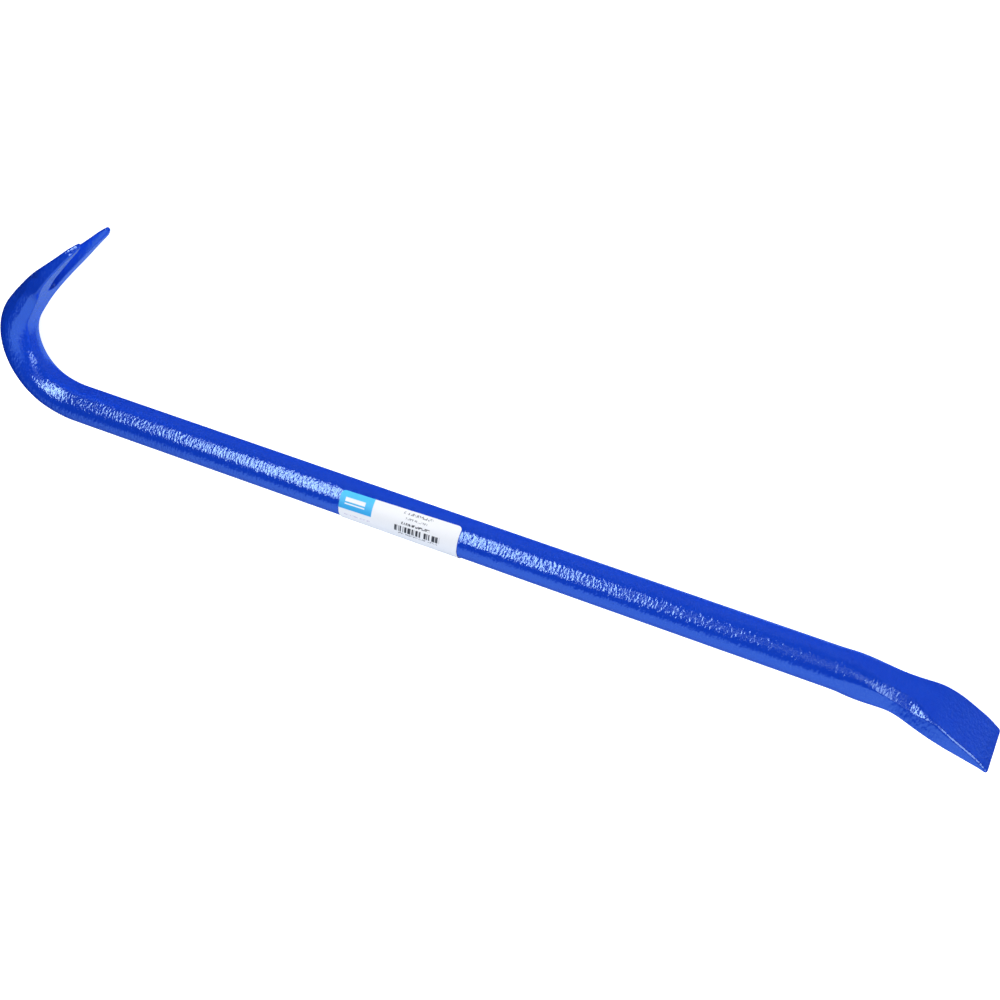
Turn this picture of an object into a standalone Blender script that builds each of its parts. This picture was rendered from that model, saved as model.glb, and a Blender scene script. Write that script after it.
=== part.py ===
"""Gooseneck crowbar forged from one length of round bar, with the paper label that is wrapped on its shaft.

Metres, +Z up. The hook lies level: X runs along the shaft towards the blade, the hook opens towards +Y,
and the origin is at the middle of the bounding box in plan, at the height that the widest part rests on.
"""

import math

import bmesh
import bpy
from mathutils import Matrix, Vector

# Bar stock
BAR_DIAMETER = 0.01905
SHAFT_LENGTH = 0.3956

# Centre line of the hook, from the shaft to the claw's tips
NECK_RADIUS = 0.0483
NECK_TURN = math.radians(18.1)
CROOK_RADIUS = 0.0293
CROOK_TURN = math.radians(106.0)
SWEEP_RADIUS = 0.1765
SWEEP_TURN = math.radians(11.9)
TINE_STRAIGHT = 0.0322

# Thickness of the claw, drawn out from the bar to its tips
TIP_THICKNESS = 0.0032
TIP_TAPER = 0.055
CLAW_TAPER_LENGTH = 0.1002
NOSE_LENGTH = 0.006
NOSE_DROP = 0.0013

# Width of the claw, in lengths that follow each other back from its tips
TIP_WIDTH = 0.0244
CHEEK_LENGTH = 0.0085
CHEEK_WIDTH = 0.0308
CHEEK_BULGE = 1.3
SWELL_LENGTH = 0.015
CLAW_WIDTH = 0.0318
CLAW_FLARE_LENGTH = 0.036

# Corners of the claw's section, from crisp at the tips to the round of the bar
CLAW_EDGE_RADIUS = 0.0008
CLAW_CRISP_LENGTH = 0.036
CLAW_ROUNDING_LENGTH = 0.056

# Nail slot between the tines
SLOT_LENGTH = 0.0460
SLOT_MOUTH_WIDTH = 0.0210
SLOT_MOUTH_LENGTH = 0.0220
SLOT_WIDTH = 0.0138
SLOT_ROOT_RADIUS = 0.0038

# Centre line of the blade end, from the shaft to the cutting edge
BLADE_LEAD = 0.0143
BLADE_BEND_RADIUS = 0.1197
BLADE_BEND_TURN = math.radians(20.6)
BLADE_STRAIGHT = 0.0177

# Thickness of the blade, in lengths that follow each other back from its cutting edge
EDGE_THICKNESS = 0.0028
WEDGE_LENGTH = 0.028
WEDGE_TAPER = 0.240
HOLLOW_LENGTH = 0.016
HOLLOW_THICKNESS = 0.0111
HOLLOW_TAPER = 0.12
DRAW_LENGTH = 0.024

# Dent that the forging press leaves on the upper side of the blade's neck
PRESS_DEPTH = 0.0006
PRESS_BACK = 0.056
PRESS_REACH = 0.016

# Width of the blade, in lengths that follow each other back from its cutting edge
BLADE_WIDTH = 0.0296
BLADE_NOSE_RADIUS = 0.0014
BLADE_PARALLEL_LENGTH = 0.018
BLADE_FLARE_LENGTH = 0.032

# Corners of the blade's section, from crisp at the cutting edge to the round of the bar
BLADE_EDGE_RADIUS = 0.0008
BLADE_CRISP_LENGTH = 0.028
BLADE_ROUNDING_LENGTH = 0.044

# Bevel ground along the cutting edge, on the blade's upper side
GRIND_LENGTH = 0.010
GRIND_DEPTH = 0.0016

# Paper label wrapped round the shaft
LABEL_LENGTH = 0.0625
LABEL_HEIGHT = 0.038
LABEL_THICKNESS = 0.0002
LABEL_GAP = 0.0003
LABEL_CORNER_RADIUS = 0.002
LABEL_FROM_NECK = 0.157
LABEL_START = math.radians(35.5)
LABEL_SKEW = math.radians(1.6)

# Fineness of the mesh
SECTION_SPACING = 0.0026
SECTION_TURN = math.radians(5.0)
CORNER_STEPS = 9
SLOT_ROOT_STEPS = 10
NOSE_STEPS = 4
LABEL_SPACING = 0.0011
LABEL_CORNER_STEPS = 5
SHARP_ANGLE = math.radians(32)

BAR_RADIUS = BAR_DIAMETER / 2
UP = Vector((0.0, 0.0, 1.0))


def clear_scene():
    """Removes whatever the file opened with."""
    for obj in list(bpy.data.objects):
        bpy.data.objects.remove(obj, do_unlink=True)


def make_material(name, colour, roughness, metallic, coat):
    """A plain Principled material: colour is linear RGB."""
    material = bpy.data.materials.new(name)
    material.use_nodes = True
    shader = material.node_tree.nodes["Principled BSDF"]
    shader.inputs["Base Color"].default_value = (*colour, 1.0)
    shader.inputs["Roughness"].default_value = roughness
    shader.inputs["Metallic"].default_value = metallic
    shader.inputs["Coat Weight"].default_value = coat
    material.diffuse_color = (*colour, 1.0)
    return material


def link_mesh(name, bm, material):
    """The mesh as an object of its own, smooth except at its crisp edges."""
    mesh = bpy.data.meshes.new(name)
    bmesh.ops.recalc_face_normals(bm, faces=bm.faces[:])
    bm.to_mesh(mesh)
    bm.free()
    mesh.shade_smooth()
    mesh.set_sharp_from_angle(angle=SHARP_ANGLE)
    mesh.materials.append(material)
    obj = bpy.data.objects.new(name, mesh)
    bpy.context.scene.collection.objects.link(obj)
    return obj


def ease(start, length, at):
    """0 up to start, 1 from start + length on, and a smooth step between them."""
    t = min(max((at - start) / length, 0.0), 1.0)
    return t * t * (3 - 2 * t)


def blend(start, start_value, start_slope, length, end_value, end_slope, at):
    """The cubic with these values and slopes at both ends of its length, held level beyond them."""
    t = min(max((at - start) / length, 0.0), 1.0)
    value = start_value * (2 * t**3 - 3 * t**2 + 1) + end_value * (3 * t**2 - 2 * t**3)
    return value + length * (start_slope * (t**3 - 2 * t**2 + t) + end_slope * (t**3 - t**2))


def direction(heading):
    """The level unit vector that points along a heading."""
    return Vector((math.cos(heading), math.sin(heading), 0.0))


class Route:
    """A centre line in the XY plane, drawn as straight runs and arcs.

    Each stop on it is a point, the heading there, and the distance run from the start.
    """

    def __init__(self, start, heading):
        self.stops = [(Vector(start), heading, 0.0)]

    def straight(self, length):
        """Goes on along the present heading."""
        steps = math.ceil(length / SECTION_SPACING)
        for _ in range(steps):
            point, heading, run = self.stops[-1]
            step = length / steps
            self.stops.append((point + direction(heading) * step, heading, run + step))

    def arc(self, radius, turn):
        """Turns left for a positive angle, in chords between points that lie on the arc."""
        steps = math.ceil(max(abs(turn) / SECTION_TURN, radius * abs(turn) / SECTION_SPACING))
        part = turn / steps
        chord = 2 * radius * math.sin(abs(part) / 2)
        for _ in range(steps):
            point, heading, run = self.stops[-1]
            ahead = direction(heading + part / 2)
            self.stops.append((point + ahead * chord, heading + part, run + radius * abs(part)))

    def stops_with_distance_back(self):
        """Point, heading and distance back from the route's end, for each stop."""
        length = self.stops[-1][2]
        return [(point, heading, length - run) for point, heading, run in self.stops]


def section_ring(bm, centre, heading, left_reach, right_reach, width, corner):
    """A rounded rectangle square across the route, with its own reach to the left and the right of it."""
    left = direction(heading + math.pi / 2)
    middle = centre + left * ((left_reach - right_reach) / 2)
    thickness = left_reach + right_reach
    corner = min(corner, thickness / 2, width / 2)
    ring = []
    for quarter in range(4):
        along = (thickness / 2 - corner) * (1, -1, -1, 1)[quarter]
        across = (width / 2 - corner) * (1, 1, -1, -1)[quarter]
        for step in range(CORNER_STEPS):
            angle = math.pi / 2 * (quarter + (step + 0.5) / CORNER_STEPS)
            side = along + corner * math.cos(angle)
            rise = across + corner * math.sin(angle)
            ring.append(bm.verts.new(middle + left * side + UP * rise))
    return ring


def skin(bm, rings):
    """Bridges each ring to the next and caps both ends."""
    for first, second in zip(rings, rings[1:]):
        for index in range(len(first)):
            following = (index + 1) % len(first)
            bm.faces.new((first[index], first[following], second[following], second[index]))
    bm.faces.new(rings[0])
    bm.faces.new(rings[-1])


def claw_thickness(back):
    """One long draw from the round bar to the tips, with the last few millimetres ground to a blunt nose."""
    body = blend(0.0, TIP_THICKNESS, TIP_TAPER, CLAW_TAPER_LENGTH, BAR_DIAMETER, 0.0, back)
    return body - NOSE_DROP * (1 - min(back / NOSE_LENGTH, 1.0)) ** 2


def claw_width(back):
    """Ground in at the tips, widest across the tines, and drawn down to the round bar behind them."""
    swell_slope = (CLAW_WIDTH - CHEEK_WIDTH) / SWELL_LENGTH
    widest_back = CHEEK_LENGTH + SWELL_LENGTH
    if back < CHEEK_LENGTH:
        tip_slope = CHEEK_BULGE * (CHEEK_WIDTH - TIP_WIDTH) / CHEEK_LENGTH
        return blend(0.0, TIP_WIDTH, tip_slope, CHEEK_LENGTH, CHEEK_WIDTH, swell_slope, back)
    if back < widest_back:
        return blend(CHEEK_LENGTH, CHEEK_WIDTH, swell_slope, SWELL_LENGTH, CLAW_WIDTH, 0.0, back)
    return CLAW_WIDTH + (BAR_DIAMETER - CLAW_WIDTH) * ease(widest_back, CLAW_FLARE_LENGTH, back)


def claw_corner(back):
    """Corner radius of the claw's section, which ends as the whole round of the bar."""
    rounding = ease(CLAW_CRISP_LENGTH, CLAW_ROUNDING_LENGTH, back)
    return CLAW_EDGE_RADIUS + (BAR_RADIUS - CLAW_EDGE_RADIUS) * rounding


def blade_thickness(back):
    """A flat wedge, then the hollow of the forged neck, then the round bar."""
    if back < WEDGE_LENGTH:
        return EDGE_THICKNESS + WEDGE_TAPER * back
    hollow_back = WEDGE_LENGTH + HOLLOW_LENGTH
    if back < hollow_back:
        wedge_root = EDGE_THICKNESS + WEDGE_TAPER * WEDGE_LENGTH
        return blend(
            WEDGE_LENGTH, wedge_root, WEDGE_TAPER, HOLLOW_LENGTH, HOLLOW_THICKNESS, HOLLOW_TAPER, back
        )
    return blend(hollow_back, HOLLOW_THICKNESS, HOLLOW_TAPER, DRAW_LENGTH, BAR_DIAMETER, 0.0, back)


def press_dent(back):
    """Depth of the press's dent, deepest at its middle and level with the bar at both its ends."""
    off_middle = abs(back - PRESS_BACK)
    return PRESS_DEPTH * (1 - ease(0.0, PRESS_REACH, off_middle))


def ground_bevel(back):
    """Depth ground off the upper side, which curves down to the cutting edge."""
    return GRIND_DEPTH * (1 - min(back / GRIND_LENGTH, 1.0)) ** 2


def blade_width(back):
    """Parallel behind its rounded nose corners, then drawn in to the round bar."""
    into_nose = max(BLADE_NOSE_RADIUS - back, 0.0)
    inset = BLADE_NOSE_RADIUS - math.sqrt(BLADE_NOSE_RADIUS**2 - into_nose**2)
    drawn = ease(BLADE_PARALLEL_LENGTH, BLADE_FLARE_LENGTH, back)
    return BLADE_WIDTH - 2 * inset + (BAR_DIAMETER - BLADE_WIDTH) * drawn


def blade_corner(back):
    """Corner radius of the blade's section, which ends as the whole round of the bar."""
    rounding = ease(BLADE_CRISP_LENGTH, BLADE_ROUNDING_LENGTH, back)
    return BLADE_EDGE_RADIUS + (BAR_RADIUS - BLADE_EDGE_RADIUS) * rounding


def hook_route():
    """From the shaft's end, heading -X, round clockwise to the tips."""
    route = Route((0.0, 0.0, 0.0), math.pi)
    route.arc(NECK_RADIUS, -NECK_TURN)
    route.arc(CROOK_RADIUS, -CROOK_TURN)
    route.arc(SWEEP_RADIUS, -SWEEP_TURN)
    route.straight(TINE_STRAIGHT)
    return route


def blade_route():
    """From the shaft's other end, heading +X, with the blade set down a little away from the hook."""
    route = Route((SHAFT_LENGTH, 0.0, 0.0), 0.0)
    route.straight(BLADE_LEAD)
    route.arc(BLADE_BEND_RADIUS, -BLADE_BEND_TURN)
    route.straight(BLADE_STRAIGHT - GRIND_LENGTH)
    route.straight(GRIND_LENGTH - BLADE_NOSE_RADIUS)
    for step in range(NOSE_STEPS):
        near = math.sin(math.pi / 2 * step / NOSE_STEPS)
        far = math.sin(math.pi / 2 * (step + 1) / NOSE_STEPS)
        route.straight(BLADE_NOSE_RADIUS * (far - near))
    return route


def hook_rings(bm):
    """The hook's sections, from the shaft to the tips."""
    rings = []
    for point, heading, back in hook_route().stops_with_distance_back():
        half = claw_thickness(back) / 2
        ring = section_ring(
            bm, point, heading + math.pi, half, half, claw_width(back), claw_corner(back)
        )
        rings.append(ring)
    return rings


def blade_rings(bm):
    """The blade end's sections, from the shaft to the cutting edge."""
    rings = []
    for point, heading, back in blade_route().stops_with_distance_back():
        half = blade_thickness(back) / 2
        dent = press_dent(back)
        upper = half - dent - ground_bevel(back)
        ring = section_ring(bm, point, heading, upper, half + dent, blade_width(back), blade_corner(back))
        rings.append(ring)
    return rings


def slot_half_outline():
    """Distance back from the tips and half width of the nail slot, down one side to the middle of its root."""
    outline = [
        (-SLOT_MOUTH_LENGTH, SLOT_MOUTH_WIDTH / 2),
        (0.0, SLOT_MOUTH_WIDTH / 2),
        (SLOT_MOUTH_LENGTH, SLOT_WIDTH / 2),
    ]
    root_centre = SLOT_LENGTH - SLOT_ROOT_RADIUS
    for step in range(SLOT_ROOT_STEPS + 1):
        angle = math.pi / 2 * step / SLOT_ROOT_STEPS
        back = root_centre + SLOT_ROOT_RADIUS * math.sin(angle)
        outline.append((back, SLOT_ROOT_RADIUS * math.cos(angle)))
    return outline


def make_slot_cutter(material):
    """A prism with the nail slot's outline, driven square through the straight part of the tines."""
    tip, heading, _ = hook_route().stops[-1]
    ahead = direction(heading)
    square = direction(heading + math.pi / 2)
    half = slot_half_outline()
    outline = half + [(back, -side) for back, side in reversed(half[:-1])]
    reach = claw_thickness(SLOT_LENGTH)
    bm = bmesh.new()
    verts = [bm.verts.new(tip - ahead * back + UP * side - square * reach) for back, side in outline]
    pushed = bmesh.ops.extrude_face_region(bm, geom=[bm.faces.new(verts)])
    moved = [item for item in pushed["geom"] if isinstance(item, bmesh.types.BMVert)]
    bmesh.ops.translate(bm, verts=moved, vec=square * (2 * reach))
    cutter = link_mesh("nail_slot_cutter", bm, material)
    cutter.hide_render = True
    cutter.display_type = "WIRE"
    return cutter


def make_bar(material):
    """The forging, lofted in one run from the tips to the cutting edge, with its nail slot cut through."""
    bm = bmesh.new()
    skin(bm, hook_rings(bm)[::-1] + blade_rings(bm))
    bar = link_mesh("forged_bar", bm, material)
    cutter = make_slot_cutter(material)
    slot = bar.modifiers.new("nail_slot", "BOOLEAN")
    slot.operation = "DIFFERENCE"
    slot.solver = "EXACT"
    slot.object = cutter
    return bar, cutter


def label_rows():
    """Distances down the label, closer together where its corners are round."""
    top = []
    for step in range(LABEL_CORNER_STEPS):
        angle = math.pi / 2 * step / LABEL_CORNER_STEPS
        top.append(LABEL_CORNER_RADIUS * (1 - math.cos(angle)))
    plain = LABEL_HEIGHT - 2 * LABEL_CORNER_RADIUS
    count = math.ceil(plain / LABEL_SPACING)
    middle = [LABEL_CORNER_RADIUS + plain * step / count for step in range(count + 1)]
    return top + middle + [LABEL_HEIGHT - row for row in reversed(top)]


def label_inset(row):
    """How far the label's end is drawn in at this row by its round corner."""
    into_corner = max(LABEL_CORNER_RADIUS - row, LABEL_CORNER_RADIUS - (LABEL_HEIGHT - row), 0.0)
    return LABEL_CORNER_RADIUS - math.sqrt(LABEL_CORNER_RADIUS**2 - into_corner**2)


def make_label(material):
    """A thin sheet with round corners, bent round the shaft a hair off square, as it was stuck on by hand."""
    inner = BAR_RADIUS + LABEL_GAP
    outer = inner + LABEL_THICKNESS
    bm = bmesh.new()
    rings = []
    for row in label_rows():
        low = label_inset(row)
        high = LABEL_LENGTH - low
        ring = []
        for along, radius in ((low, inner), (high, inner), (high, outer), (low, outer)):
            angle = LABEL_START + (row - along * math.tan(LABEL_SKEW)) / outer
            place = (LABEL_FROM_NECK + along, radius * math.cos(angle), radius * math.sin(angle))
            ring.append(bm.verts.new(place))
        rings.append(ring)
    skin(bm, rings)
    return link_mesh("paper_label", bm, material)


def stand_on_origin(objects, measured):
    """Moves every mesh so that the measured one has its middle in plan, and its lowest point, at the origin."""
    points = [vertex.co for vertex in measured.data.vertices]
    low = Vector([min(point[axis] for point in points) for axis in range(3)])
    high = Vector([max(point[axis] for point in points) for axis in range(3)])
    shift = Vector((-(low.x + high.x) / 2, -(low.y + high.y) / 2, -low.z))
    for obj in objects:
        obj.data.transform(Matrix.Translation(shift))


def main():
    """Builds the bar and its label, and stands them on the origin."""
    clear_scene()
    enamel = make_material("blue_enamel_on_steel", (0.008, 0.058, 0.62), 0.30, 0.0, 0.4)
    paper = make_material("white_label_paper", (0.86, 0.87, 0.90), 0.55, 0.0, 0.0)
    bar, cutter = make_bar(enamel)
    label = make_label(paper)
    stand_on_origin((bar, cutter, label), bar)


main()
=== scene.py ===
"""Gooseneck crowbar in glossy blue enamel, with a paper label on its shaft, dressed over the CAD model."""

import logging
import math
from dataclasses import dataclass, field

import bmesh
import bpy
from mathutils import Matrix, Vector


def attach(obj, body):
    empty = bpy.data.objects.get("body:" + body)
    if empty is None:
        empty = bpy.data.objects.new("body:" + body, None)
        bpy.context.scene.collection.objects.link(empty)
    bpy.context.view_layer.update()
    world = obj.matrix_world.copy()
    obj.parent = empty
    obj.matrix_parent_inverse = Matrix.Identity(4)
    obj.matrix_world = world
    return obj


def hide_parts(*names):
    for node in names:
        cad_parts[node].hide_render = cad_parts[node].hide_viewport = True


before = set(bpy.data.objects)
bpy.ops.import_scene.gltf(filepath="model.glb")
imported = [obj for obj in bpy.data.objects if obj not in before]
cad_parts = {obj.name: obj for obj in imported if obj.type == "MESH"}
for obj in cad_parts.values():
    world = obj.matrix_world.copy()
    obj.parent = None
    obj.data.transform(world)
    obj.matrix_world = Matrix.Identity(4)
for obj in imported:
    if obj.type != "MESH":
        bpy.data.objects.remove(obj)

LOG = logging.getLogger("crowbar")
UP = Vector((0.0, 0.0, 1.0))
MM = 0.001
PRINT_MAP = "print"
ROUND_PROFILE = 0.5  # the bevel profile that is an arc
UNBROKEN = 90.0  # a stroke's height in millimetres, beyond the end of any printed area

Ring = list[bmesh.types.BMVert]
Stop = tuple[Vector, float, float]
Span = tuple[float, float]
Triple = tuple[float, float, float]
BMesh = bmesh.types.BMesh
Material = bpy.types.Material
Shaded = Material | bpy.types.World
Socket = bpy.types.NodeSocket
Settings = dict[str | int, object]
Links = dict[str | int, Socket]


def linear(hex_colour: str) -> tuple[float, float, float, float]:
    """Turns an sRGB hex colour into linear RGBA.

    Args:
        hex_colour: the colour as "#rrggbb".

    Returns:
        Linear red, green and blue, with an alpha of 1.
    """
    channels = [int(hex_colour[start:start + 2], 16) / 255 for start in (1, 3, 5)]
    # the curve of the sRGB standard
    red, green, blue = [c / 12.92 if c <= 0.04045 else ((c + 0.055) / 1.055) ** 2.4 for c in channels]
    return red, green, blue, 1.0


def ease(start: float, length: float, at: float) -> float:
    """Rises smoothly from 0 at start to 1 at start + length, and stays level beyond both."""
    t = min(max((at - start) / length, 0.0), 1.0)
    return t * t * (3 - 2 * t)


def between(first: float, last: float, start: float, length: float, at: float) -> float:
    """Passes smoothly from first to last, over a length from start on."""
    return first + (last - first) * ease(start, length, at)


def blend(
    start: float,
    start_value: float,
    start_slope: float,
    length: float,
    end_value: float,
    end_slope: float,
    at: float,
) -> float:
    """Cubic between two values with a slope at each.

    Args:
        start: where the cubic begins.
        start_value: its value there.
        start_slope: its slope there.
        length: how far it runs.
        end_value: its value at the end.
        end_slope: its slope at the end.
        at: where it is read.

    Returns:
        The cubic's value, held level beyond both ends.
    """
    t = min(max((at - start) / length, 0.0), 1.0)
    value = start_value * (2 * t**3 - 3 * t**2 + 1) + end_value * (3 * t**2 - 2 * t**3)
    return value + length * (start_slope * (t**3 - 2 * t**2 + t) + end_slope * (t**3 - t**2))


def level(heading: float) -> Vector:
    """The level unit vector that points along a heading."""
    return Vector((math.cos(heading), math.sin(heading), 0.0))


def round_off(radius: float, back: float) -> float:
    """How far a face is drawn in by an end edge of this radius, at a distance back from the end."""
    into_edge = max(radius - back, 0.0)
    return radius - math.sqrt(max(radius**2 - into_edge**2, 0.0))


def add_node(
    material: Shaded, kind: str, settings: Settings | None = None, links: Links | None = None
) -> bpy.types.Node:
    """Adds one shader node.

    Args:
        material: the material or world that the node joins.
        kind: Blender's name for the node's type.
        settings: values by socket name or number, or by attribute name.
        links: the sockets that feed this node's inputs, by input name or number.

    Returns:
        The new node.
    """
    node = material.node_tree.nodes.new(kind)
    for key, value in (settings or {}).items():
        if isinstance(key, int) or key in node.inputs:
            node.inputs[key].default_value = value
        else:
            setattr(node, key, value)
    for key, source in (links or {}).items():
        material.node_tree.links.new(source, node.inputs[key])
    return node


def multiply(material: Shaded, first: Socket, second: Socket) -> Socket:
    """Adds a node that multiplies two values."""
    return add_node(material, "ShaderNodeMath", {"operation": "MULTIPLY"}, {0: first, 1: second}).outputs[0]


def distance_from(material: Shaded, middle: float, value: Socket) -> Socket:
    """Adds the nodes that tell how far a value lies from a middle, on either side."""
    off = add_node(material, "ShaderNodeMath", {"operation": "SUBTRACT", 1: middle}, {0: value})
    return add_node(material, "ShaderNodeMath", {"operation": "ABSOLUTE"}, {0: off.outputs[0]}).outputs[0]


def ramp(material: Shaded, value: Socket, edge: Span, ends: Span = (0.0, 1.0)) -> Socket:
    """Adds a straight ramp that begins and ends at edge, and has the values of ends there and beyond."""
    settings = dict(zip(("From Min", "From Max", "To Min", "To Max"), edge + ends))
    return add_node(material, "ShaderNodeMapRange", settings, {"Value": value}).outputs["Result"]


def add_noise(
    material: Shaded, place: Socket, grain: float, detail: float = 0.0, breakup: float = 0.5
) -> Socket:
    """Adds a noise with grains of this length, and finer layers that break them up."""
    settings = {"Scale": 1 / grain, "Detail": detail, "Roughness": breakup}
    return add_node(material, "ShaderNodeTexNoise", settings, {"Vector": place}).outputs["Fac"]


def mix_colours(material: Shaded, first: str, last: str, share: Socket) -> Socket:
    """Adds a node that mixes two hex colours by the share of the last one."""
    colours = {"data_type": "RGBA", 6: linear(first), 7: linear(last)}
    return add_node(material, "ShaderNodeMix", colours, {0: share}).outputs[2]


def add_surface(material: Material, settings: Settings, links: Links | None = None) -> None:
    """Adds the surface shader with its values and feeds, and the material's output."""
    shader = add_node(material, "ShaderNodeBsdfPrincipled", settings, links)
    add_node(material, "ShaderNodeOutputMaterial", links={"Surface": shader.outputs["BSDF"]})


def new_material(name: str) -> Material:
    """Starts a material with an empty node tree."""
    material = bpy.data.materials.new(name)
    material.use_nodes = True
    material.node_tree.nodes.clear()
    return material


def link_mesh(name: str, bm: BMesh, material: Material) -> bpy.types.Object:
    """Makes a piece of a finished bmesh, and frees the bmesh.

    Args:
        name: the piece's name.
        bm: its shape, in place.
        material: what it is made of.

    Returns:
        The new object, at the origin.
    """
    mesh = bpy.data.meshes.new(name)
    bm.to_mesh(mesh)
    bm.free()
    mesh.shade_smooth()
    mesh.materials.append(material)
    piece = bpy.data.objects.new(name, mesh)
    bpy.context.scene.collection.objects.link(piece)
    return piece


def close_loop(bm: BMesh, loop: Ring) -> None:
    """Joins a loop's vertices with edges, where it has none yet.

    Args:
        bm: the mesh that holds them.
        loop: the vertices in order.
    """
    for first, second in zip(loop, loop[1:] + loop[:1]):
        if not any(edge.other_vert(first) is second for edge in first.link_edges):
            bmesh.ops.contextual_create(bm, geom=[first, second])


def bridge(bm: BMesh, first: Ring, second: Ring) -> None:
    """Joins two closed rings with faces.

    Args:
        bm: the mesh that holds them.
        first: the vertices of one.
        second: the vertices of the other.
    """
    pair = set(first) | set(second)
    edges = {edge for vert in pair for edge in vert.link_edges}
    rims = [edge for edge in edges if all(vert in pair for vert in edge.verts)]
    bmesh.ops.bridge_loops(bm, edges=[edge for edge in rims if not edge.link_faces[1:]])


@dataclass
class CentreLine:
    """A line in a level plane, drawn as straight runs and arcs, with a stop at every section.

    Attributes:
        start: where it begins.
        heading: the way it sets out.
        spacing: the longest step between two stops.
        turn_step: the largest turn between two stops.
        stops: point, heading and run from the start, for each stop so far.
    """

    start: Vector
    heading: float
    spacing: float = 0.0013
    turn_step: float = math.radians(2.5)
    stops: list[Stop] = field(default_factory=list)

    def __post_init__(self) -> None:
        """Puts the first stop at the start."""
        self.stops = [(self.start, self.heading, 0.0)]

    def straight(self, length: float, steps: int = 0) -> None:
        """Goes on along the present heading.

        Args:
            length: how far to go.
            steps: how many stops to make on the way, or 0 for as many as the spacing asks.
        """
        count = steps or math.ceil(length / self.spacing)
        for _ in range(count):
            point, heading, run = self.stops[-1]
            self.stops.append((point + level(heading) * (length / count), heading, run + length / count))

    def arc(self, radius: float, turn: float) -> None:
        """Turns along an arc.

        Args:
            radius: radius of the arc.
            turn: angle turned through, positive to the left.
        """
        count = math.ceil(max(abs(turn) / self.turn_step, radius * abs(turn) / self.spacing))
        part = turn / count
        chord = 2 * radius * math.sin(abs(part) / 2)
        for _ in range(count):
            point, heading, run = self.stops[-1]
            ahead = level(heading + part / 2)
            self.stops.append((point + ahead * chord, heading + part, run + radius * abs(part)))

    def rounded_end(self, radius: float, steps: int) -> None:
        """Runs the last radius with stops that close up towards the end, where an edge is rounded.

        Args:
            radius: radius of the end's edge.
            steps: number of stops.
        """
        for step in range(steps):
            near = math.sin(math.pi / 2 * step / steps)
            far = math.sin(math.pi / 2 * (step + 1) / steps)
            self.straight(radius * (far - near), steps=1)

    def from_end(self) -> list[Stop]:
        """Point, heading and distance back from the line's end, for each stop."""
        length = self.stops[-1][2]
        return [(point, heading, length - run) for point, heading, run in self.stops]

    def at(self, back: float) -> tuple[Vector, float]:
        """Finds a place between two stops.

        Args:
            back: distance back from the line's end, less than 0 for a place straight on beyond it.

        Returns:
            The point and the heading there.
        """
        end, last_heading, _ = self.stops[-1]
        stops = self.from_end()
        for (far, far_heading, far_back), (near, near_heading, near_back) in zip(stops, stops[1:]):
            if near_back <= back <= far_back:
                share = (back - near_back) / (far_back - near_back)
                return near.lerp(far, share), near_heading + (far_heading - near_heading) * share
        return end - level(last_heading) * back, last_heading


@dataclass(frozen=True)
class Section:
    """A rounded rectangle square across the centre line.

    Attributes:
        left: reach to the left of the line.
        right: reach to the right of it.
        width: size upwards, half above and half below.
        corner: radius of the left corners.
        back_corner: radius of the right corners.
        facet: how far the upper left corner is hammered flat, 0 for round and 1 for flat.
        facet_reach: reach of the flat corner along the thickness.
        facet_rise: reach of the flat corner upwards.
        back_stretch: how much further the right corners reach along the thickness than they rise.
        corner_points: points round each corner.
    """

    left: float
    right: float
    width: float
    corner: float
    back_corner: float
    facet: float = 0.0
    facet_reach: float = 0.0
    facet_rise: float = 0.0
    back_stretch: float = 1.0
    corner_points: int = 12

    def place(self, angle: float) -> tuple[float, float]:
        """Finds one point of the outline.

        Args:
            angle: the way to it, from the left of the line towards the top.

        Returns:
            Its distance to the left of the section's middle, and its distance above it.
        """
        thickness = self.left + self.right
        on_left = math.cos(angle) > 0
        limit = min(thickness, self.width) / 2
        corner = min(self.corner if on_left else self.back_corner, limit)
        facet = self.facet if on_left and math.sin(angle) > 0 else 0.0
        reach = corner + (self.facet_reach - corner) * facet
        if not on_left:
            front = min(self.corner, limit)
            front = max(front, front + (self.facet_reach - front) * self.facet)
            reach = min(corner * self.back_stretch, thickness - front)
        rise = corner + (self.facet_rise - corner) * facet
        share = math.atan2(abs(math.sin(angle)), abs(math.cos(angle))) / (math.pi / 2)
        out = abs(math.cos(angle)) * (1 - facet) + (1 - share) * facet
        up = abs(math.sin(angle)) * (1 - facet) + share * facet
        along = math.copysign(thickness / 2 - reach * (1 - out), math.cos(angle))
        across = math.copysign(self.width / 2 - rise * (1 - up), math.sin(angle))
        return along, across

    def draw(self, bm: BMesh, centre: Vector, heading: float) -> Ring:
        """Draws a circle and draws it out into the section.

        Args:
            bm: the mesh that the section joins.
            centre: point of the line that it is drawn round.
            heading: the line's heading there.

        Returns:
            The section's vertices.
        """
        side = level(heading + math.pi / 2)
        middle = centre + side * ((self.left - self.right) / 2)
        count = 4 * self.corner_points
        half_step = math.pi / count
        ring = bmesh.ops.create_circle(bm, segments=count, radius=1.0)["verts"]
        for vert in ring:
            along, across = self.place(math.atan2(vert.co.y, vert.co.x) + half_step)
            vert.co = middle + side * along + UP * across
        return ring


@dataclass(frozen=True)
class Stock:
    """The round bar that the tool is forged from.

    Attributes:
        diameter: the bar's diameter.
        shaft_length: length left as it came, between the hook and the blade.
        shaft_spacing: distance between two sections on the shaft.
        neck: where the hook's bend begins, which is the shaft's end.
    """

    diameter: float = 19.05 * MM
    shaft_length: float = 395.6 * MM
    shaft_spacing: float = 8.0 * MM
    neck: Vector = field(default_factory=lambda: Vector((-0.212099, -0.041269, 0.015891)))

    @property
    def radius(self) -> float:
        """Radius of the bar."""
        return self.diameter / 2


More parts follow.
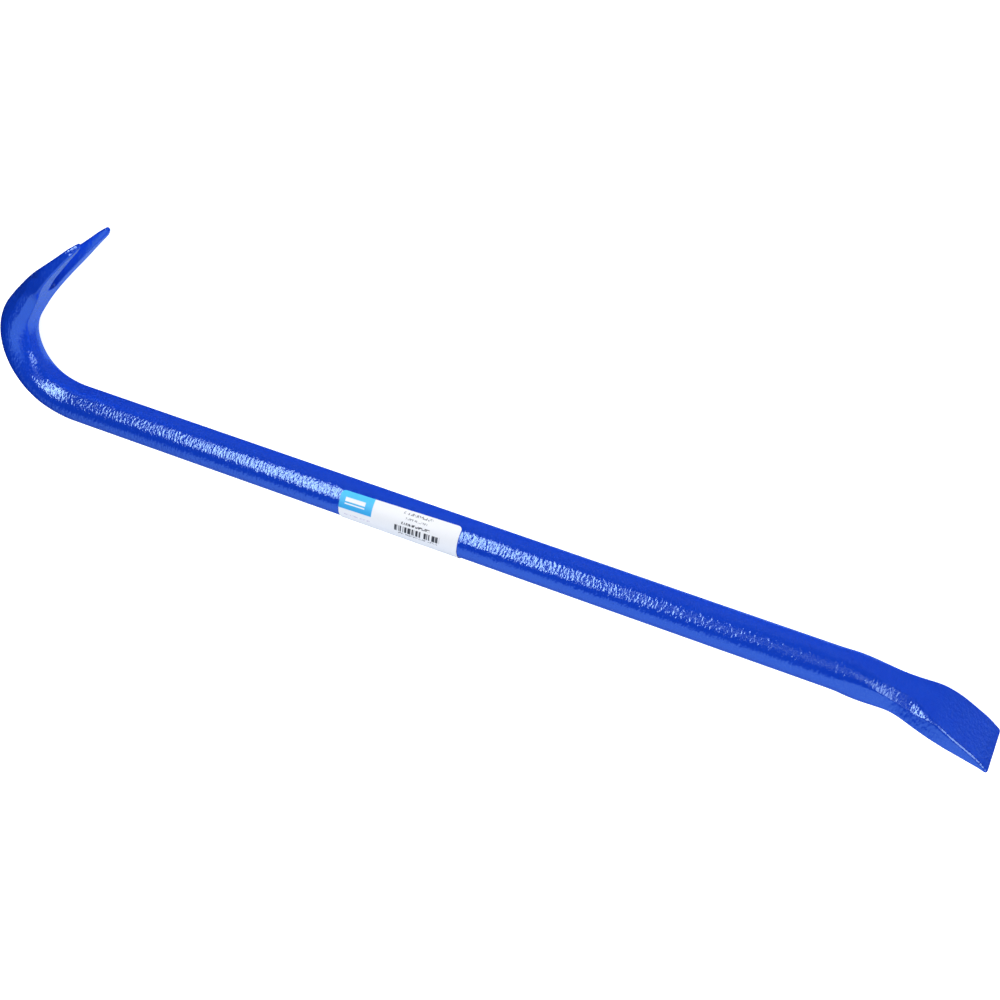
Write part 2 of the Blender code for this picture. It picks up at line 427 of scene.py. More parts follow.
@dataclass
class ForgedEnd:
    """One worked end of the bar, lofted along its centre line. Each kind gives its own line and sizes."""

    stock: Stock

    def back_corner_at(self, back: float) -> float:
        """Radius of the right corners, which stay crisp for a length and then grow into the bar's round."""
        start, length = self.back_crisp_length, self.back_rounding_length
        return between(self.edge_radius, self.stock.radius, start, length, back)

    def facet_at(self, back: float) -> Triple:
        """How flat the hammer left the upper left corner, and the flat's reach and rise."""
        grown = self.facet_flatness * ease(self.facet_start, self.facet_growth, back)
        kept = 1 - ease(self.facet_fall_start, self.facet_fall, back)
        return grown * kept, self.facet_reach, self.facet_rise

    def rings(self, bm: BMesh) -> list[Ring]:
        """Draws the end's sections.

        Args:
            bm: the mesh that they join.

        Returns:
            One ring for each stop, from the shaft to the end.
        """
        rings = []
        for point, heading, back in self.centre_line().from_end():
            size = (*self.reaches_at(back), self.width_at(back))
            corners = (self.corner_at(back), self.back_corner_at(back))
            section = Section(*size, *corners, *self.facet_at(back), self.back_stretch)
            rings.append(section.draw(bm, point, heading + self.turned))
        return rings


@dataclass
class SlottedClaw(ForgedEnd):
    """The gooseneck hook, drawn out to two tines with a nail slot between them.

    The left of its sections is the inside of the hook, where the hammer left its flat between the tines and
    the bend. Its outside is round from the heel of the claw on.
    """

    turned: float = math.pi
    neck_radius: float = 48.3 * MM
    neck_turn: float = math.radians(18.1)
    crook_radius: float = 29.3 * MM
    crook_turn: float = math.radians(106.0)
    sweep_radius: float = 176.5 * MM
    sweep_turn: float = math.radians(11.9)
    tine_straight: float = 32.2 * MM
    tip_thickness: float = 3.2 * MM
    tip_taper: float = 0.055
    taper_length: float = 100.2 * MM
    nose_length: float = 6.0 * MM
    nose_drop: float = 1.3 * MM
    tip_width: float = 24.4 * MM
    cheek_length: float = 8.5 * MM
    cheek_width: float = 30.8 * MM
    cheek_bulge: float = 1.3
    swell_length: float = 15.0 * MM
    width: float = 31.8 * MM
    flare_length: float = 36.0 * MM
    edge_radius: float = 0.8 * MM
    crisp_length: float = 28.0 * MM
    rounding_length: float = 66.0 * MM
    back_crisp_length: float = 20.0 * MM
    back_rounding_length: float = 36.0 * MM
    back_stretch: float = 1.6
    facet_flatness: float = 0.85
    facet_start: float = 40.0 * MM
    facet_growth: float = 12.0 * MM
    facet_fall_start: float = 54.0 * MM
    facet_fall: float = 44.0 * MM
    facet_reach: float = 4.6 * MM
    facet_rise: float = 2.4 * MM
    slot_length: float = 46.0 * MM
    slot_mouth_width: float = 18.8 * MM
    slot_mouth_length: float = 30.0 * MM
    slot_width: float = 13.2 * MM
    slot_root_radius: float = 3.8 * MM
    slot_root_steps: int = 12
    slot_station: float = 2.0 * MM
    slot_overrun: float = 2.0 * MM
    countersink_at_tip: float = 1.3 * MM
    countersink_at_root: float = 0.35 * MM
    countersink_length: float = 26.0 * MM
    slot_edge_radius: float = 0.45 * MM
    slot_edge_steps: int = 4
    tip_squareness: float = 0.999
    rim_weld: float = 0.02 * MM
    rim_angle: float = math.radians(60.0)

    @property
    def root_back(self) -> float:
        """Where the slot's round root begins, back from the tips."""
        return self.slot_length - self.slot_root_radius

    def centre_line(self) -> CentreLine:
        """From the shaft's end, heading -X, round clockwise to the tips."""
        line = CentreLine(self.stock.neck, math.pi)
        line.arc(self.neck_radius, -self.neck_turn)
        line.arc(self.crook_radius, -self.crook_turn)
        line.arc(self.sweep_radius, -self.sweep_turn)
        line.straight(self.tine_straight)
        return line

    def thickness_at(self, back: float) -> float:
        """One long draw from the bar to the tips, ground to a blunt nose over the last few millimetres.

        Args:
            back: distance back from the tips.

        Returns:
            The claw's thickness there.
        """
        drawn = (self.taper_length, self.stock.diameter, 0.0)
        body = blend(0.0, self.tip_thickness, self.tip_taper, *drawn, back)
        nose = self.nose_drop * (1 - min(back / self.nose_length, 1.0)) ** 2
        return body - nose

    def width_at(self, back: float) -> float:
        """Ground in at the tips, widest across the tines, and drawn down to the round bar behind them.

        Args:
            back: distance back from the tips.

        Returns:
            The claw's width there.
        """
        swell_slope = (self.width - self.cheek_width) / self.swell_length
        widest = self.cheek_length + self.swell_length
        if back < self.cheek_length:
            slope = self.cheek_bulge * (self.cheek_width - self.tip_width) / self.cheek_length
            cheek = (self.cheek_length, self.cheek_width, swell_slope)
            return blend(0.0, self.tip_width, slope, *cheek, back)
        if back < widest:
            swell = (self.swell_length, self.width, 0.0)
            return blend(self.cheek_length, self.cheek_width, swell_slope, *swell, back)
        return between(self.width, self.stock.diameter, widest, self.flare_length, back)

    def corner_at(self, back: float) -> float:
        """Corner radius of the section, which ends as the whole round of the bar."""
        return between(self.edge_radius, self.stock.radius, self.crisp_length, self.rounding_length, back)

    def reaches_at(self, back: float) -> tuple[float, float]:
        """The section's reach to the inside of the hook and to its outside."""
        half = self.thickness_at(back) / 2
        return half, half

    def slot_half_width(self, back: float) -> float:
        """Half width of the slot ahead of its round root, at a distance back from the tips."""
        if back < self.slot_mouth_length:
            narrowing = self.slot_width - self.slot_mouth_width
            return (self.slot_mouth_width + narrowing * back / self.slot_mouth_length) / 2
        share = (back - self.slot_mouth_length) / (self.root_back - self.slot_mouth_length)
        return self.slot_width / 2 + (self.slot_root_radius - self.slot_width / 2) * share

    def slot_outline(self) -> list[Triple]:
        """Walks down one side of the slot to the middle of its root.

        Returns:
            Distance back from the tips, half width, and the angle that the wall faces, 0 for straight across.
        """
        steps = math.ceil((self.root_back + self.slot_overrun) / self.slot_station)
        run = (self.root_back + self.slot_overrun) / steps
        backs = [step * run - self.slot_overrun for step in range(steps)]
        outline = [(back, self.slot_half_width(back), 0.0) for back in backs]
        for step in range(self.slot_root_steps + 1):
            angle = math.pi / 2 * step / self.slot_root_steps
            back = self.root_back + self.slot_root_radius * math.sin(angle)
            outline.append((back, self.slot_root_radius * math.cos(angle), angle))
        return outline

    def countersink_at(self, back: float) -> float:
        """Depth that the slot's rim is countersunk on the inside of the hook, most at the tips."""
        tip, root = self.countersink_at_tip, self.countersink_at_root
        return between(tip, root, 0.0, self.countersink_length, back)

    def slot_cutter(self) -> bpy.types.Object:
        """Makes the tool that cuts the nail slot, and flares it by 45 degrees through the hook's inside.

        Returns:
            The cutter, which is removed once it has cut.
        """
        half = self.slot_outline()
        outline = half + [(back, -side, math.pi - angle) for back, side, angle in reversed(half[:-1])]
        line = self.centre_line()
        bm = bmesh.new()
        loops: list[Ring] = [[], [], []]
        for back, side, angle in outline:
            point, heading = line.at(back)
            middle = point + UP * side
            outer_side = level(heading + math.pi / 2)
            reach = self.thickness_at(max(back, 0.0)) / 2
            away = UP * math.cos(angle) - level(heading) * math.sin(angle)
            sink = self.countersink_at(back)
            loops[0].append(bm.verts.new(middle + outer_side * (reach + self.slot_overrun)))
            loops[1].append(bm.verts.new(middle - outer_side * (reach - sink)))
            flare = sink + self.slot_overrun
            loops[2].append(bm.verts.new(middle - outer_side * (reach + self.slot_overrun) + away * flare))
        for first, second in zip(loops, loops[1:]):
            for loop in (first, second):
                close_loop(bm, loop)
            bridge(bm, first, second)
        for loop in (loops[0], loops[2]):
            bmesh.ops.contextual_create(bm, geom=loop)
        bmesh.ops.recalc_face_normals(bm, faces=bm.faces[:])
        return link_mesh("nail_slot_cutter", bm, new_material("slot_wall"))

    def is_cut(self, face: bmesh.types.BMFace) -> bool:
        """Tells whether a face is part of the slot's wall or the blunt end of a tine.

        Args:
            face: a face of the bar after the slot is cut.

        Returns:
            True for the wall and the two ends.
        """
        tip, heading, _ = self.centre_line().stops[-1]
        ahead = level(heading)
        at_end = (tip - face.calc_center_median()).dot(ahead) < self.slot_edge_radius
        return face.material_index > 0 or (at_end and face.normal.dot(ahead) > self.tip_squareness)

    def soften_slot(self, bm: BMesh) -> None:
        """Rounds the rim of the nail slot and the tips of the tines, where the enamel runs over them.

        Args:
            bm: the bar after the slot is cut.
        """
        bmesh.ops.remove_doubles(bm, verts=bm.verts[:], dist=self.rim_weld)
        bm.normal_update()
        cut = {face for face in bm.faces if self.is_cut(face)}
        rim = [edge for edge in bm.edges if any(face in cut for face in edge.link_faces)]
        rim = [edge for edge in rim if edge.calc_face_angle() > self.rim_angle]
        arc = {"segments": self.slot_edge_steps, "profile": ROUND_PROFILE, "clamp_overlap": False}
        bmesh.ops.bevel(bm, geom=rim, offset=self.slot_edge_radius, affect="EDGES", material=-1, **arc)


@dataclass
class ChiselBlade(ForgedEnd):
    """The blade end: a wedge behind a ground edge, a hollow neck, and the round bar.

    The left of its sections is its upper side, which the press struck flat at the corner behind the shoulder.
    Its underside stays crisp up to the shoulders.
    """

    turned: float = 0.0
    lead: float = 14.3 * MM
    bend_radius: float = 119.7 * MM
    bend_turn: float = math.radians(20.6)
    straight: float = 17.7 * MM
    edge_thickness: float = 2.8 * MM
    wedge_length: float = 28.0 * MM
    wedge_taper: float = 0.240
    hollow_length: float = 16.0 * MM
    hollow_thickness: float = 11.1 * MM
    hollow_taper: float = 0.12
    draw_length: float = 24.0 * MM
    press_depth: float = 0.6 * MM
    press_back: float = 56.0 * MM
    press_reach: float = 16.0 * MM
    width: float = 29.6 * MM
    nose_radius: float = 1.4 * MM
    nose_steps: int = 8
    parallel_length: float = 18.0 * MM
    flare_length: float = 32.0 * MM
    edge_radius: float = 1.5 * MM
    crisp_length: float = 27.0 * MM
    shoulder_length: float = 16.0 * MM
    shoulder_radius: float = 3.6 * MM
    rounding_length: float = 32.0 * MM
    back_crisp_length: float = 35.0 * MM
    back_rounding_length: float = 40.0 * MM
    back_stretch: float = 1.0
    facet_flatness: float = 1.0
    facet_start: float = crisp_length
    facet_growth: float = shoulder_length
    facet_fall_start: float = 41.0 * MM
    facet_fall: float = 30.0 * MM
    facet_reach: float = 4.6 * MM
    facet_rise: float = 4.6 * MM
    grind_length: float = 10.0 * MM
    grind_depth: float = 1.6 * MM
    cutting_edge_radius: float = 0.3 * MM

    def centre_line(self) -> CentreLine:
        """From the shaft's other end, heading +X, with the blade set down a little away from the hook."""
        line = CentreLine(self.stock.neck + Vector((self.stock.shaft_length, 0.0, 0.0)), 0.0)
        line.straight(self.lead)
        line.arc(self.bend_radius, -self.bend_turn)
        line.straight(self.straight - self.grind_length)
        line.straight(self.grind_length - self.nose_radius)
        line.rounded_end(self.nose_radius, self.nose_steps)
        return line

    def thickness_at(self, back: float) -> float:
        """A flat wedge, then the hollow of the forged neck, then the round bar.

        Args:
            back: distance back from the cutting edge.

        Returns:
            The blade's thickness there, before its press dent and its ground bevel.
        """
        if back < self.wedge_length:
            return self.edge_thickness + self.wedge_taper * back
        hollow_back = self.wedge_length + self.hollow_length
        if back < hollow_back:
            root = self.edge_thickness + self.wedge_taper * self.wedge_length
            hollow = (self.hollow_length, self.hollow_thickness, self.hollow_taper)
            return blend(self.wedge_length, root, self.wedge_taper, *hollow, back)
        drawn = (self.draw_length, self.stock.diameter, 0.0)
        return blend(hollow_back, self.hollow_thickness, self.hollow_taper, *drawn, back)

    def press_dent(self, back: float) -> float:
        """Depth of the forging press's dent, level with the bar at both its ends."""
        return self.press_depth * (1 - ease(0.0, self.press_reach, abs(back - self.press_back)))

    def ground_bevel(self, back: float) -> float:
        """Depth ground off the upper side, which curves down to the cutting edge."""
        return self.grind_depth * (1 - min(back / self.grind_length, 1.0)) ** 2

    def width_at(self, back: float) -> float:
        """Parallel behind its rounded nose corners, then drawn in to the round bar."""
        wide = between(self.width, self.stock.diameter, self.parallel_length, self.flare_length, back)
        return wide - 2 * round_off(self.nose_radius, back)

    def corner_at(self, back: float) -> float:
        """Corner radius: crisp along the blade, full from its shoulders back, then the bar's round."""
        full_from = self.crisp_length + self.shoulder_length
        full = between(self.shoulder_radius, self.stock.radius, full_from, self.rounding_length, back)
        return between(self.edge_radius, full, self.crisp_length, self.shoulder_length, back)

    def reaches_at(self, back: float) -> tuple[float, float]:
        """The section's reach to the upper side and to the underside, with its dent and its ground bevel."""
        half = self.thickness_at(back) / 2 - round_off(self.cutting_edge_radius, back)
        dent = self.press_dent(back)
        return half - dent - self.ground_bevel(back), half + dent


@dataclass(frozen=True)
class BlueEnamel:
    """Stoved gloss enamel on forged steel: a deep blue whose orange peel breaks mirrored lamps into flecks.

    The peel of a real coat is finer than a pixel in places, so it is drawn at 1.1 mm and deeper than the coat
    is thick, as coarse as it needs to be to show. Its grains are longer across the bar than along it, and lie
    a little off square. The slow wave under it is the forging's own unevenness.
    """

    name: str = "blue_stoved_enamel"
    body: str = "#0e3dc7"
    thin: str = "#1244ca"
    gloss_tint: str = "#c3e9ff"
    roughness: float = 0.15
    specular: float = 1.0
    index: float = 2.0
    peel_grain: float = 1.1 * MM
    peel_turn: float = math.radians(10.0)
    peel_stretch: Triple = (1.0, 0.55, 0.55)
    peel_detail: float = 1.5
    peel_breakup: float = 0.5
    peel_depth: float = 0.27 * MM
    wave_length: float = 9.0 * MM
    wave_detail: float = 1.0
    wave_breakup: float = 0.4
    wave_depth: float = 0.03 * MM

    def make(self) -> Material:
        """Builds the enamel's node tree.

        Returns:
            The finished material.
        """
        material = new_material(self.name)
        place = add_node(material, "ShaderNodeTexCoord").outputs["Object"]
        lie = {"Rotation": (0.0, 0.0, self.peel_turn), "Scale": self.peel_stretch}
        laid = add_node(material, "ShaderNodeMapping", lie, {"Vector": place}).outputs["Vector"]
        peel = add_noise(material, laid, self.peel_grain, self.peel_detail, self.peel_breakup)
        wave = add_noise(material, place, self.wave_length, self.wave_detail, self.wave_breakup)
        wavy = add_node(material, "ShaderNodeBump", {"Distance": self.wave_depth}, {"Height": wave})
        on_wave = {"Height": peel, "Normal": wavy.outputs["Normal"]}
        peeled = add_node(material, "ShaderNodeBump", {"Distance": self.peel_depth}, on_wave)
        colour = mix_colours(material, self.body, self.thin, wave)
        gloss = {
            "Roughness": self.roughness,
            "IOR": self.index,
            "Specular IOR Level": self.specular,
            "Specular Tint": linear(self.gloss_tint),
        }
        add_surface(material, gloss, {"Base Color": colour, "Normal": peeled.outputs["Normal"]})
        return material


@dataclass(frozen=True)
class PrintedArea:
    """One printed rectangle of the label, in millimetres from the sheet's first corner.

    Attributes:
        along: where it begins and ends along the shaft.
        across: where it begins and ends round the shaft.
        ink: its colour.
        strokes: width and height of the broken strokes that fill it, or None for solid ink.
        last_ink: the colour that it turns to round the shaft, or None for one colour.
        edge: softness of its outline.
        stroke_edge: levels of the noise between which a stroke sets in.
        stroke_shift: shift of the noise, which has no contrast at whole numbers.
    """

    along: Span
    across: Span
    ink: str
    strokes: Span | None = None
    last_ink: str | None = None
    edge: float = 0.15
    stroke_edge: Span = (0.46, 0.54)
    stroke_shift: Triple = (0.37, 0.61, 0.43)

    def inside(self, material: Material, place: Socket, span: Span) -> Socket:
        """Adds the nodes that tell whether a place lies within a span.

        Args:
            material: the material that the nodes join.
            place: the place in millimetres.
            span: where the span begins and ends.

        Returns:
            1 within the span and 0 outside it.
        """
        half = (span[1] - span[0]) / 2
        off = distance_from(material, span[0] + half, place)
        return ramp(material, off, (half - self.edge, half + self.edge), (1.0, 0.0))

    def print_on(self, material: Material, sheet: Socket, ground: Socket) -> Socket:
        """Adds the nodes that lay this area's ink on what is printed so far.

        Args:
            material: the material that the nodes join.
            sheet: the place on the sheet in millimetres.
            ground: the colour under the ink.

        Returns:
            The colour with the ink on it.
        """
        axes = add_node(material, "ShaderNodeSeparateXYZ", links={0: sheet})
        across = axes.outputs["Y"]
        in_length = self.inside(material, axes.outputs["X"], self.along)
        cover = multiply(material, in_length, self.inside(material, across, self.across))
        if self.strokes:
            width, height = self.strokes
            grid = {"Location": self.stroke_shift, "Scale": (1 / width, 1 / height, 1.0)}
            cell = add_node(material, "ShaderNodeMapping", grid, {0: sheet}).outputs[0]
            noise = add_noise(material, cell, 1.0)
            cover = multiply(material, cover, ramp(material, noise, self.stroke_edge))
        ink = mix_colours(material, self.ink, self.last_ink or self.ink, ramp(material, across, self.across))
        layers = {0: cover, 6: ground, 7: ink}
        return add_node(material, "ShaderNodeMix", {"data_type": "RGBA"}, layers).outputs[2]


@dataclass(frozen=True)
class LabelPaper:
    """Semi-gloss label paper, printed in pale blue and grey: bright white and even, with a faint sheen.

    The print is a plain blue field with two white rules, rows of strokes too small to read, and plain bars.
    """

    name: str = "printed_label_paper"
    white: str = "#eaecf1"
    roughness: float = 0.45
    artwork: tuple[PrintedArea, ...] = (
        PrintedArea((-1.0, 17.5), (-1.0, 9.0), "#43c8f4", last_ink="#34a0e2"),
        PrintedArea((3.0, 13.5), (3.0, 5.0), white),
        PrintedArea((3.0, 13.5), (5.8, 6.4), white),
        PrintedArea((3.0, 17.0), (11.7, 12.4), "#c9c2d8", (0.6, 0.8)),
        PrintedArea((33.0, 48.5), (1.1, 2.4), "#85878f", (0.5, 1.0)),
        PrintedArea((34.5, 46.0), (3.8, 4.8), "#9a9ca4", (0.5, 0.9)),
        PrintedArea((33.3, 48.0), (6.3, 7.5), "#4f5159", (0.5, 1.0)),
        PrintedArea((30.0, 54.0), (8.5, 11.7), "#33353d", (0.55, UNBROKEN)),
        PrintedArea((32.0, 52.5), (12.2, 13.0), "#6a6c74", (0.45, 0.7)),
    )

    def make(self) -> Material:
        """Builds the paper's node tree.

        Returns:
            The finished material.
        """
        material = new_material(self.name)
        sheet = add_node(material, "ShaderNodeUVMap", {"uv_map": PRINT_MAP}).outputs["UV"]
        paper = {"data_type": "RGBA", 0: 0.0, 6: linear(self.white)}
        colour = add_node(material, "ShaderNodeMix", paper).outputs[2]
        for area in self.artwork:
            colour = area.print_on(material, sheet, colour)
        add_surface(material, {"Roughness": self.roughness}, {"Base Color": colour})
        return material


@dataclass
class ForgedBar:
    """The whole forging: claw, shaft and blade in one piece of steel, under its enamel."""

    stock: Stock
    claw: SlottedClaw
    blade: ChiselBlade
    finish: BlueEnamel

    def shaft_rings(self, bm: BMesh) -> list[Ring]:
        """Draws the shaft's sections, without the two that the hook and the blade end share with it.

        Args:
            bm: the mesh that they join.

        Returns:
            One ring every few millimetres, from the neck to the blade end.
        """
        length = self.stock.shaft_length
        count = math.ceil(length / self.stock.shaft_spacing)
        radius = self.stock.radius
        section = Section(radius, radius, self.stock.diameter, radius, radius)
        along = Vector((length / count, 0.0, 0.0))
        return [section.draw(bm, self.stock.neck + along * step, 0.0) for step in range(1, count)]

    def loft(self) -> BMesh:
        """Bridges all the sections from the tips to the cutting edge, and closes both ends.

        Returns:
            The forging before its slot is cut.
        """
        bm = bmesh.new()
        rings = self.claw.rings(bm)[::-1] + self.shaft_rings(bm) + self.blade.rings(bm)
        for first, second in zip(rings, rings[1:]):
            bridge(bm, first, second)
        for end in (rings[0], rings[-1]):
            bmesh.ops.contextual_create(bm, geom=end)
        bmesh.ops.recalc_face_normals(bm, faces=bm.faces[:])
        return bm

    def cut_slot(self, bar: bpy.types.Object, material: Material) -> None:
        """Cuts the nail slot through the claw and rounds its rim.

        Args:
            bar: the lofted forging.
            material: the enamel, which runs down the slot's wall too.
        """
        cutter = self.claw.slot_cutter()
        slot = bar.modifiers.new("nail_slot", "BOOLEAN")
        slot.operation = "DIFFERENCE"
        slot.solver = "EXACT"
        slot.material_mode = "TRANSFER"
        slot.object = cutter
        whole = bar.data
        graph = bpy.context.evaluated_depsgraph_get()
        bar.data = bpy.data.meshes.new_from_object(bar.evaluated_get(graph))
        bar.modifiers.clear()
        bpy.data.objects.remove(cutter, do_unlink=True)
        bpy.data.meshes.remove(whole)
        bm = bmesh.new()
        bm.from_mesh(bar.data)
        self.claw.soften_slot(bm)
        for face in bm.faces:
            face.material_index = 0
        bm.to_mesh(bar.data)
        bm.free()
        bar.data.materials.clear()
        bar.data.materials.append(material)
        bar.data.shade_smooth()

    def build(self) -> bpy.types.Object:
        """Makes the forging, dresses it, and puts it in the CAD bar's place.

        Returns:
            The finished piece.
        """
        material = self.finish.make()
        bar = link_mesh("enamelled_bar", self.loft(), material)
        self.cut_slot(bar, material)
        bar.modifiers.new("even_shading", "WEIGHTED_NORMAL")
        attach(bar, "root")
        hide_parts("forged_bar")
        return bar


@dataclass
class PaperLabel:
    """The label, wrapped on the shaft by hand a hair off square."""

    stock: Stock
    finish: LabelPaper
    length: float = 62.5 * MM
    height: float = 38.0 * MM
    thickness: float = 0.2 * MM
    gap: float = 0.3 * MM
    corner_radius: float = 2.0 * MM
    corner_steps: int = 6
    from_neck: float = 157.0 * MM
    start: float = math.radians(35.5)
    skew: float = math.radians(1.6)
    row_height: float = 0.8 * MM
    row_weld: float = 0.01 * MM
    crease_angle: float = math.radians(40.0)

    def sheet(self) -> BMesh:
        """Cuts the flat sheet: X along the shaft, Y round it.

        Returns:
            The sheet with round corners, cut across into rows that can be bent.
        """
        bm = bmesh.new()
        bmesh.ops.create_grid(bm, x_segments=1, y_segments=1, size=0.5)
        bmesh.ops.translate(bm, verts=bm.verts[:], vec=(0.5, 0.5, 0.0))
        bmesh.ops.scale(bm, verts=bm.verts[:], vec=(self.length, self.height, 1.0))
        arc = {"offset": self.corner_radius, "segments": self.corner_steps, "profile": ROUND_PROFILE}
        bmesh.ops.bevel(bm, geom=bm.verts[:], affect="VERTICES", material=-1, **arc)
        rows = math.ceil(self.height / self.row_height)
        for row in range(1, rows):
            geom = bm.verts[:] + bm.edges[:] + bm.faces[:]
            cut = {"plane_co": (0.0, self.height * row / rows, 0.0), "plane_no": (0.0, 1.0, 0.0)}
            bmesh.ops.bisect_plane(bm, geom=geom, dist=self.row_weld, **cut)
        return bm

    def map_print(self, bm: BMesh) -> None:
        """Keeps each point's place on the flat sheet, in millimetres, as the piece's own UV map.

        Args:
            bm: the flat sheet.
        """
        uv = bm.loops.layers.uv.new(PRINT_MAP)
        for face in bm.faces:
            for loop in face.loops:
                loop[uv].uv = (loop.vert.co.x / MM, loop.vert.co.y / MM)

    def wrap(self, bm: BMesh) -> None:
        """Bends the sheet round the shaft.

        Args:
            bm: the flat sheet, which is bent in place.
        """
        inner = self.stock.radius + self.gap
        outer = inner + self.thickness
        for vert in bm.verts:
            along, row, rise = vert.co
            radius = inner + rise
            angle = self.start + (row - along * math.tan(self.skew)) / outer
            round_shaft = Vector((self.from_neck + along, radius * math.cos(angle), radius * math.sin(angle)))
            vert.co = self.stock.neck + round_shaft

    def build(self) -> bpy.types.Object:
        """Makes the label, dresses it, and puts it in the CAD label's place.

        Returns:
            The finished piece.
        """
        bm = self.sheet()
        self.map_print(bm)
        bmesh.ops.recalc_face_normals(bm, faces=bm.faces[:])
        bmesh.ops.solidify(bm, geom=bm.faces[:], thickness=-self.thickness)
        self.wrap(bm)
        bmesh.ops.recalc_face_normals(bm, faces=bm.faces[:])
        label = link_mesh("wrapped_label", bm, self.finish.make())
        label.data.set_sharp_from_angle(angle=self.crease_angle)
        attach(label, "root")
        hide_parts("paper_label")
        return label


@dataclass(frozen=True)
class Softbox:
    """One studio lamp with a soft front.

    Attributes:
        name: the lamp's name.
        place: where its middle is.
        aim: the point that it faces.
        size: width and height of its front.
        power: its power in watts.
        shows: whether the enamel mirrors its front.
        lights: whether it lights the table and the tool.
    """

    name: str
    place: Vector
    aim: Vector
    size: Span
    power: float
    shows: bool = True
    lights: bool = True

    def hang(self) -> None:
        """Makes the lamp and turns it to its aim."""
        lamp = bpy.data.lights.new(self.name, "AREA")
        lamp.shape = "RECTANGLE"
        lamp.size, lamp.size_y = self.size
        lamp.energy = self.power
        box = bpy.data.objects.new(self.name, lamp)
        facing = (self.aim - self.place).to_track_quat("-Z", "Y").to_matrix().to_4x4()
        box.matrix_world = Matrix.Translation(self.place) @ facing
        box.visible_glossy = self.shows
        box.visible_diffuse = self.lights
        bpy.context.scene.collection.objects.link(box)


@dataclass
class PhotoCamera:
    """The camera at the photograph's viewing angle, with the picture's right, down and ahead as its axes."""

    place: Vector = field(default_factory=lambda: Vector((0.243464, 0.385020, 0.544949)))
    right: Vector = field(default_factory=lambda: Vector((0.898592, 0.075826, -0.432184)))
    down: Vector = field(default_factory=lambda: Vector((0.304308, -0.817289, 0.489321)))
    ahead: Vector = field(default_factory=lambda: Vector((-0.316116, -0.571217, -0.757484)))
    lens: float = 55.76205
    sensor: float = 36.0
    nearest: float = 0.01

    def set_up(self) -> bpy.types.Object:
        """Makes the camera and gives it to the scene.

        Returns:
            The camera's object.
        """
        lens = bpy.data.cameras.new("photo_camera")
        lens.lens = self.lens
        lens.sensor_width = self.sensor
        lens.sensor_fit = "HORIZONTAL"
        lens.clip_start = self.nearest
        camera = bpy.data.objects.new("photo_camera", lens)
        axes = Matrix((self.right, -self.down, -self.ahead)).transposed().to_4x4()
        camera.matrix_world = Matrix.Translation(self.place) @ axes
        bpy.context.scene.collection.objects.link(camera)
        bpy.context.scene.camera = camera
        return camera


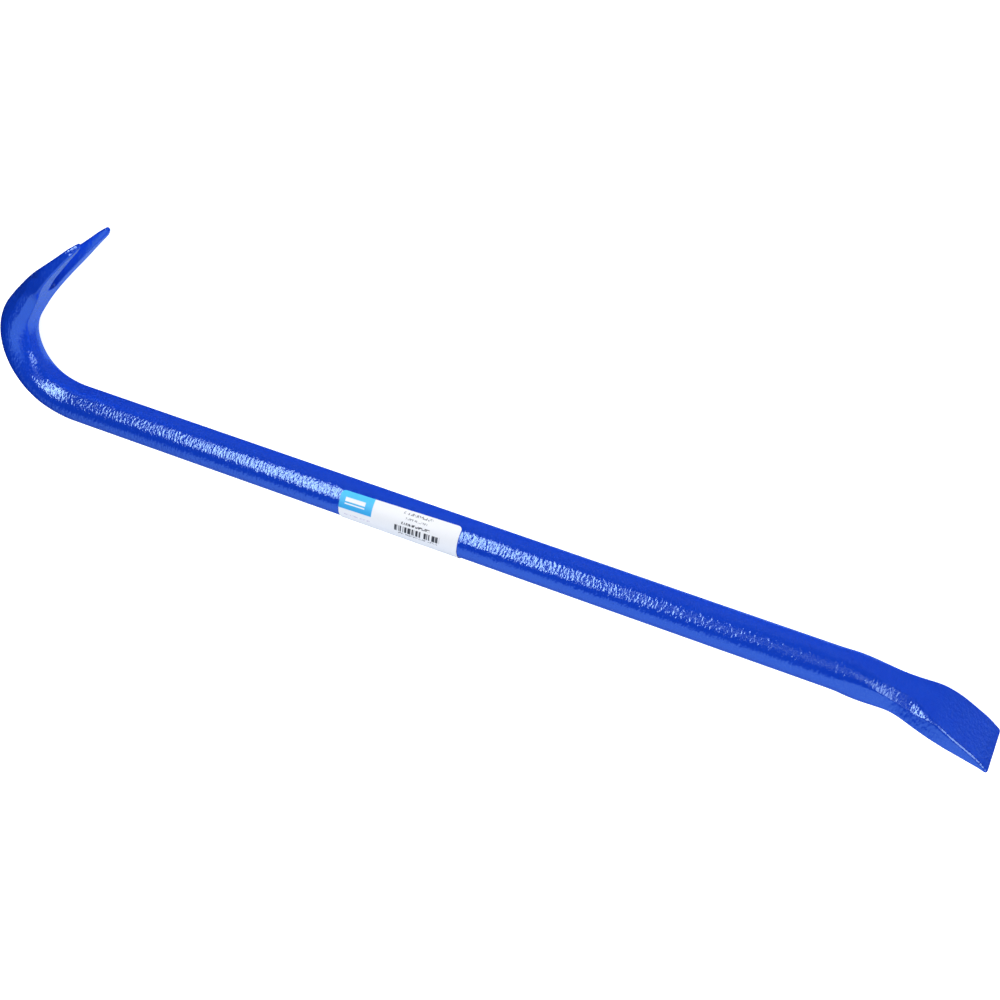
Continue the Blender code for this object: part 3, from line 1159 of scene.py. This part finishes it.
@dataclass
class Studio:
    """A pale lit table, a room that is bright on one side, and the lamps.

    Attributes:
        backdrop_colour: colour of the table's glow, and of what the camera sees beyond the table.
        at_sill: share of the window wall's light that is left at its sill.
        window_side: the way to the window wall.
        window_edge: how squarely a view faces the wall where its light begins, and where it is full.
        window_start: where its light sets in, as the X of a view. At window_end it dies away.
        sill_drop: how far the sill lies below eye level, as the Z of a view.
        sill_height: how far from the sill the light is full again.
    """

    floor_size: float = 8.0
    floor_colour: str = "#f4f4f6"
    floor_roughness: float = 0.9
    floor_glow: float = 0.9
    backdrop_colour: str = "#ffffff"
    backdrop_bright: float = 1.0
    window_colour: str = "#a8ceff"
    window_bright: float = 0.65
    at_sill: float = 0.45
    room_dark: float = 0.004
    window_side: Vector = field(default_factory=lambda: Vector((0.48, -0.86, -0.16)))
    window_edge: Span = (0.03, 0.18)
    window_start: Span = (-0.68, -0.50)
    window_end: Span = (0.36, 0.66)
    sill_drop: float = 0.15
    sill_height: float = 0.45

    def lay_floor(self) -> None:
        """Lays the table top, whose diffuser glows a little, so that shadows on it stay faint."""
        bm = bmesh.new()
        bmesh.ops.create_grid(bm, x_segments=1, y_segments=1, size=self.floor_size / 2)
        material = new_material("pale_light_table")
        paint = {"Base Color": linear(self.floor_colour), "Roughness": self.floor_roughness}
        glow = {"Emission Color": linear(self.backdrop_colour), "Emission Strength": self.floor_glow}
        add_surface(material, paint | glow)
        floor = link_mesh("studio_floor", bm, material)
        floor.visible_glossy = False

    def light_room(self) -> None:
        """Lights the room by a pale blue window wall, which has two ends, a near edge and a sill."""
        world = bpy.data.worlds.new("studio_room")
        world.use_nodes = True
        background = world.node_tree.nodes["Background"]
        towards = add_node(world, "ShaderNodeTexCoord").outputs["Generated"]
        axes = add_node(world, "ShaderNodeSeparateXYZ", links={0: towards})
        turn = {"operation": "DOT_PRODUCT", 1: self.window_side}
        facing = add_node(world, "ShaderNodeVectorMath", turn, {0: towards}).outputs["Value"]
        wall = ramp(world, facing, self.window_edge, (self.room_dark, self.window_bright))
        start = ramp(world, axes.outputs["X"], self.window_start, (self.room_dark, 1.0))
        end = ramp(world, axes.outputs["X"], self.window_end, (1.0, self.room_dark))
        off_sill = distance_from(world, -self.sill_drop, axes.outputs["Z"])
        sill = ramp(world, off_sill, (0.0, self.sill_height), (self.at_sill, 1.0))
        lit = multiply(world, multiply(world, wall, sill), multiply(world, start, end))
        seen = add_node(world, "ShaderNodeLightPath").outputs["Is Camera Ray"]
        levels = {"data_type": "FLOAT", 3: self.backdrop_bright}
        strength = add_node(world, "ShaderNodeMix", levels, {0: seen, 2: lit}).outputs[0]
        colour = mix_colours(world, self.window_colour, self.backdrop_colour, seen)
        world.node_tree.links.new(strength, background.inputs["Strength"])
        world.node_tree.links.new(colour, background.inputs["Color"])
        bpy.context.scene.world = world

    def hang_lamps(self) -> None:
        """Hangs three lamps that the enamel mirrors, and two that only light the tool and the table."""
        middle = Vector((0.0, -0.04, 0.016))
        across = Vector((-0.44, -0.04, 0.016))
        neck = Vector((0.20, -0.045, 0.016))
        blade = Vector((0.24, -0.055, 0.016))
        lamps = [
            Softbox("strip_softbox", Vector((-0.44, 0.55, 0.72)), across, (0.30, 1.05), 4.6, lights=False),
            Softbox("neck_softbox", Vector((0.33, 0.46, 0.62)), neck, (0.28, 0.28), 0.09, lights=False),
            Softbox("blade_kicker", Vector((0.475, 0.185, 0.265)), blade, (0.29, 0.34), 0.62, lights=False),
            Softbox("key_softbox", Vector((0.02, 0.55, 0.72)), middle, (0.60, 0.60), 7.4, shows=False),
            Softbox("window_fill", Vector((0.50, -0.75, 0.75)), middle, (0.90, 0.90), 8.5, shows=False),
        ]
        for lamp in lamps:
            lamp.hang()

    def set_up(self) -> None:
        """Sets up floor, room, lamps and the way the picture is developed."""
        self.lay_floor()
        self.light_room()
        self.hang_lamps()
        bpy.context.scene.view_settings.view_transform = "Standard"


def main() -> None:
    """Builds the crowbar piece by piece, then the studio round it."""
    logging.basicConfig(level=logging.INFO, format="%(name)s: %(message)s")
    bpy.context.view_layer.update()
    camera = PhotoCamera().set_up()
    LOG.info("camera %s at %s", camera.name, tuple(round(value, 3) for value in camera.location))
    stock = Stock()
    bar = ForgedBar(stock, SlottedClaw(stock), ChiselBlade(stock), BlueEnamel()).build()
    LOG.info("bar %s: %d faces", bar.name, len(bar.data.polygons))
    label = PaperLabel(stock, LabelPaper()).build()
    LOG.info("label %s: %d faces", label.name, len(label.data.polygons))
    Studio().set_up()


if __name__ == "__main__":
    main()
